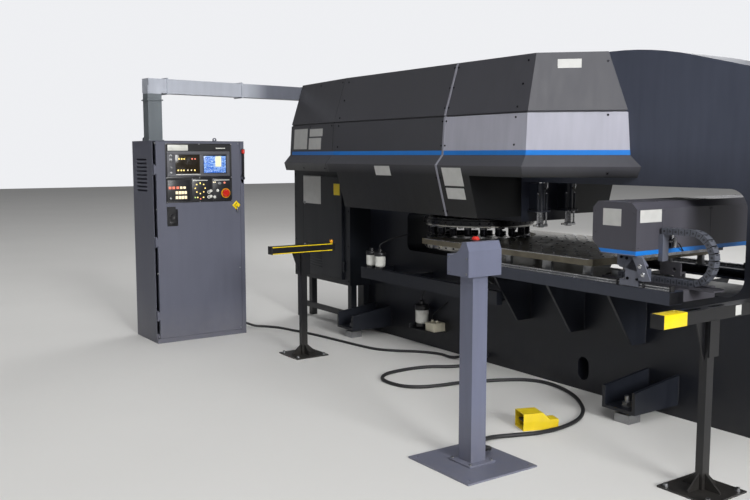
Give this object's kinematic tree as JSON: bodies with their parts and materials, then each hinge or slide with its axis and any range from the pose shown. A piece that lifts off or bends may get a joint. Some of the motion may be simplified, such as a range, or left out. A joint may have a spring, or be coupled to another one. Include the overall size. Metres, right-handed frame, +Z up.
{
  "type": "cnc turret punch press",
  "caption": "Bridge-frame turret punch press with a gantry carriage, work clamps, head covers, control cabinet, overhead duct, pedestal and foot switch.",
  "frame": {"origin": "on the floor under the turret axis, in the bridge frame's centre plane", "axes": "+X along the frame towards the carriage end, +Y to the rear, +Z up"},
  "size_m": [5.469, 2.986, 2.3359],
  "materials": {
    "frame_navy_paint": "satin painted steel",
    "bracket_paint": "satin painted steel",
    "cover_paint": "fine textured paint",
    "strip_paint": "satin painted steel",
    "band_paint": "satin coloured band",
    "machined_steel": "ground and turned steel",
    "zinc_steel": "zinc plated steel",
    "table_alloy": "worn cast aluminium",
    "black_oxide": "oiled black oxide",
    "chain_plastic": "moulded nylon",
    "hydraulic_paint": "satin painted sheet",
    "reservoir_plastic": "clear to milky bowls",
    "cabinet_paint": "fine textured paint",
    "panel_plastic": "dark film on metal",
    "screen_glass": "glossy display",
    "key_plastic": "moulded key caps",
    "red_plastic": "glossy moulded plastic",
    "handle_plastic": "moulded plastic",
    "duct_steel": "painted galvanised sheet",
    "pedestal_paint": "satin painted steel",
    "yellow_paint": "gloss enamel on a casting",
    "pedal_rubber": "ribbed rubber",
    "cord_rubber": "matt jacket",
    "stand_paint": "black enamel"
  },
  "bodies": {
    "machine": {"bridge_frame": "frame_navy_paint", "levelling_feet": "zinc_steel", "rail_beams": "bracket_paint", "linear_rails": "machined_steel", "frame_brackets": "frame_navy_paint", "chain_tray": "bracket_paint", "front_table": "table_alloy", "centre_table": "table_alloy", "rear_table": "table_alloy", "table_legs": "zinc_steel", "ball_transfers": "machined_steel", "front_cover_left": "cover_paint", "front_cover_right": "cover_paint", "cover_joint_strip": "strip_paint", "cover_stripe": "band_paint", "rear_cover": "cover_paint", "ram_cylinder": "machined_steel", "upper_turret_motor": "black_oxide", "lower_turret_motor": "black_oxide", "holder_cylinders": "bracket_paint", "hydraulic_box": "hydraulic_paint", "hydraulic_unit": "machined_steel", "oil_reservoirs": "reservoir_plastic", "cabinet_shell": "cabinet_paint", "duct": "duct_steel", "pedestal": "pedestal_paint", "foot_switch_base": "yellow_paint", "floor_cord": "cord_rubber", "control_cable": "cord_rubber", "guard_stand_right": "stand_paint", "guard_stand_left": "stand_paint"},
    "upper_turret_body": {"upper_turret": "machined_steel", "punch_holders": "black_oxide"},
    "lower_turret_body": {"lower_turret": "machined_steel", "die_holders": "black_oxide"},
    "ram_body": {"ram": "machined_steel"},
    "front_holder": {"front_holder_pad": "machined_steel"},
    "rear_holder": {"rear_holder_pad": "machined_steel"},
    "carriage": {"carriage_beam": "bracket_paint", "carriage_cover": "cover_paint", "carriage_brackets": "bracket_paint", "carriage_stripe": "band_paint", "drag_chain": "chain_plastic"},
    "cross_slide_body": {"cross_slide": "machined_steel", "clamp_bodies": "black_oxide"},
    "jaw_a": {"clamp_jaw_a": "machined_steel"},
    "jaw_b": {"clamp_jaw_b": "machined_steel"},
    "jaw_c": {"clamp_jaw_c": "machined_steel"},
    "hydraulic_door_body": {"hydraulic_door": "hydraulic_paint"},
    "cabinet_door_body": {"cabinet_door": "cabinet_paint", "operator_panel": "panel_plastic", "panel_screens": "screen_glass", "panel_keys": "key_plastic"},
    "stop_button_body": {"stop_button": "red_plastic"},
    "key_switch_body": {"key_switch": "red_plastic"},
    "push_button_a_body": {"push_button_a": "key_plastic"},
    "push_button_b_body": {"push_button_b": "key_plastic"},
    "switch_handle_body": {"main_switch_handle": "handle_plastic"},
    "pedestal_button_body": {"pedestal_button": "red_plastic"},
    "pedal_body": {"foot_pedal": "pedal_rubber"}
  },
  "joints": [
    {"name": "upper_turret_turn", "type": "hinge", "parent": "machine", "child": "upper_turret_body", "pos_m": [0, 0, 1.1], "axis": [0, 0, 1], "continuous": true},
    {"name": "lower_turret_turn", "type": "hinge", "parent": "machine", "child": "lower_turret_body", "pos_m": [0, 0, 0.9], "axis": [0, 0, 1], "continuous": true},
    {"name": "ram_stroke", "type": "slide", "parent": "machine", "child": "ram_body", "axis": [0, 0, 1], "range_m": [-0.038, 0]},
    {"name": "front_holder_stroke", "type": "slide", "parent": "machine", "child": "front_holder", "axis": [0, 0, 1], "range_m": [-0.108, 0]},
    {"name": "rear_holder_stroke", "type": "slide", "parent": "machine", "child": "rear_holder", "axis": [0, 0, 1], "range_m": [-0.108, 0]},
    {"name": "carriage_travel", "type": "slide", "parent": "machine", "child": "carriage", "axis": [1, 0, 0], "range_m": [-0.8, 0], "deforming": ["drag_chain"]},
    {"name": "cross_slide_travel", "type": "slide", "parent": "carriage", "child": "cross_slide_body", "axis": [0, 1, 0], "range_m": [-0.22, 0.22]},
    {"name": "jaw_a_turn", "type": "hinge", "parent": "cross_slide_body", "child": "jaw_a", "pos_m": [1.812, -0.25, 1.03], "axis": [0, 1, 0], "range_deg": [0, 12]},
    {"name": "jaw_b_turn", "type": "hinge", "parent": "cross_slide_body", "child": "jaw_b", "pos_m": [1.812, 0, 1.03], "axis": [0, 1, 0], "range_deg": [0, 12]},
    {"name": "jaw_c_turn", "type": "hinge", "parent": "cross_slide_body", "child": "jaw_c", "pos_m": [1.812, 0.25, 1.03], "axis": [0, 1, 0], "range_deg": [0, 12]},
    {"name": "hydraulic_door_swing", "type": "hinge", "parent": "machine", "child": "hydraulic_door_body", "pos_m": [-1.328, -0.507, 0.96], "axis": [0, 0, 1], "range_deg": [0, 95]},
    {"name": "cabinet_door_swing", "type": "hinge", "parent": "machine", "child": "cabinet_door_body", "pos_m": [-1.742, -2.17, 0.9], "axis": [0, 0, 1], "range_deg": [-100, 0]},
    {"name": "stop_button_press", "type": "slide", "parent": "cabinet_door_body", "child": "stop_button_body", "axis": [1, 0, 0], "range_m": [-0.007, 0], "stiffness_N_per_m": 400, "springref_m": 0.01},
    {"name": "key_switch_turn", "type": "hinge", "parent": "cabinet_door_body", "child": "key_switch_body", "pos_m": [-1.733, -1.409, 1.196], "axis": [1, 0, 0], "range_deg": [-90, 0]},
    {"name": "push_button_a_press", "type": "slide", "parent": "cabinet_door_body", "child": "push_button_a_body", "axis": [1, 0, 0], "range_m": [-0.005, 0], "stiffness_N_per_m": 400, "springref_m": 0.01},
    {"name": "push_button_b_press", "type": "slide", "parent": "cabinet_door_body", "child": "push_button_b_body", "axis": [1, 0, 0], "range_m": [-0.005, 0], "stiffness_N_per_m": 400, "springref_m": 0.01},
    {"name": "main_switch_turn", "type": "hinge", "parent": "machine", "child": "switch_handle_body", "pos_m": [-1.711, -1.344, 1.44], "axis": [0, 1, 0], "range_deg": [0, 60]},
    {"name": "pedestal_button_press", "type": "slide", "parent": "machine", "child": "pedestal_button_body", "axis": [0, 0, 1], "range_m": [-0.01, 0], "stiffness_N_per_m": 400, "springref_m": 0.01},
    {"name": "pedal_press", "type": "hinge", "parent": "machine", "child": "pedal_body", "pos_m": [1.84821, -1.10974, 0.034], "axis": [-0.9397, 0.342, 0], "range_deg": [-9, 0], "stiffness_Nm_per_rad": 60, "springref_deg": 5.73}
  ],
  "couplings": [
    {"joint": "lower_turret_turn", "follows": "upper_turret_turn", "ratio": 1}
  ]
}
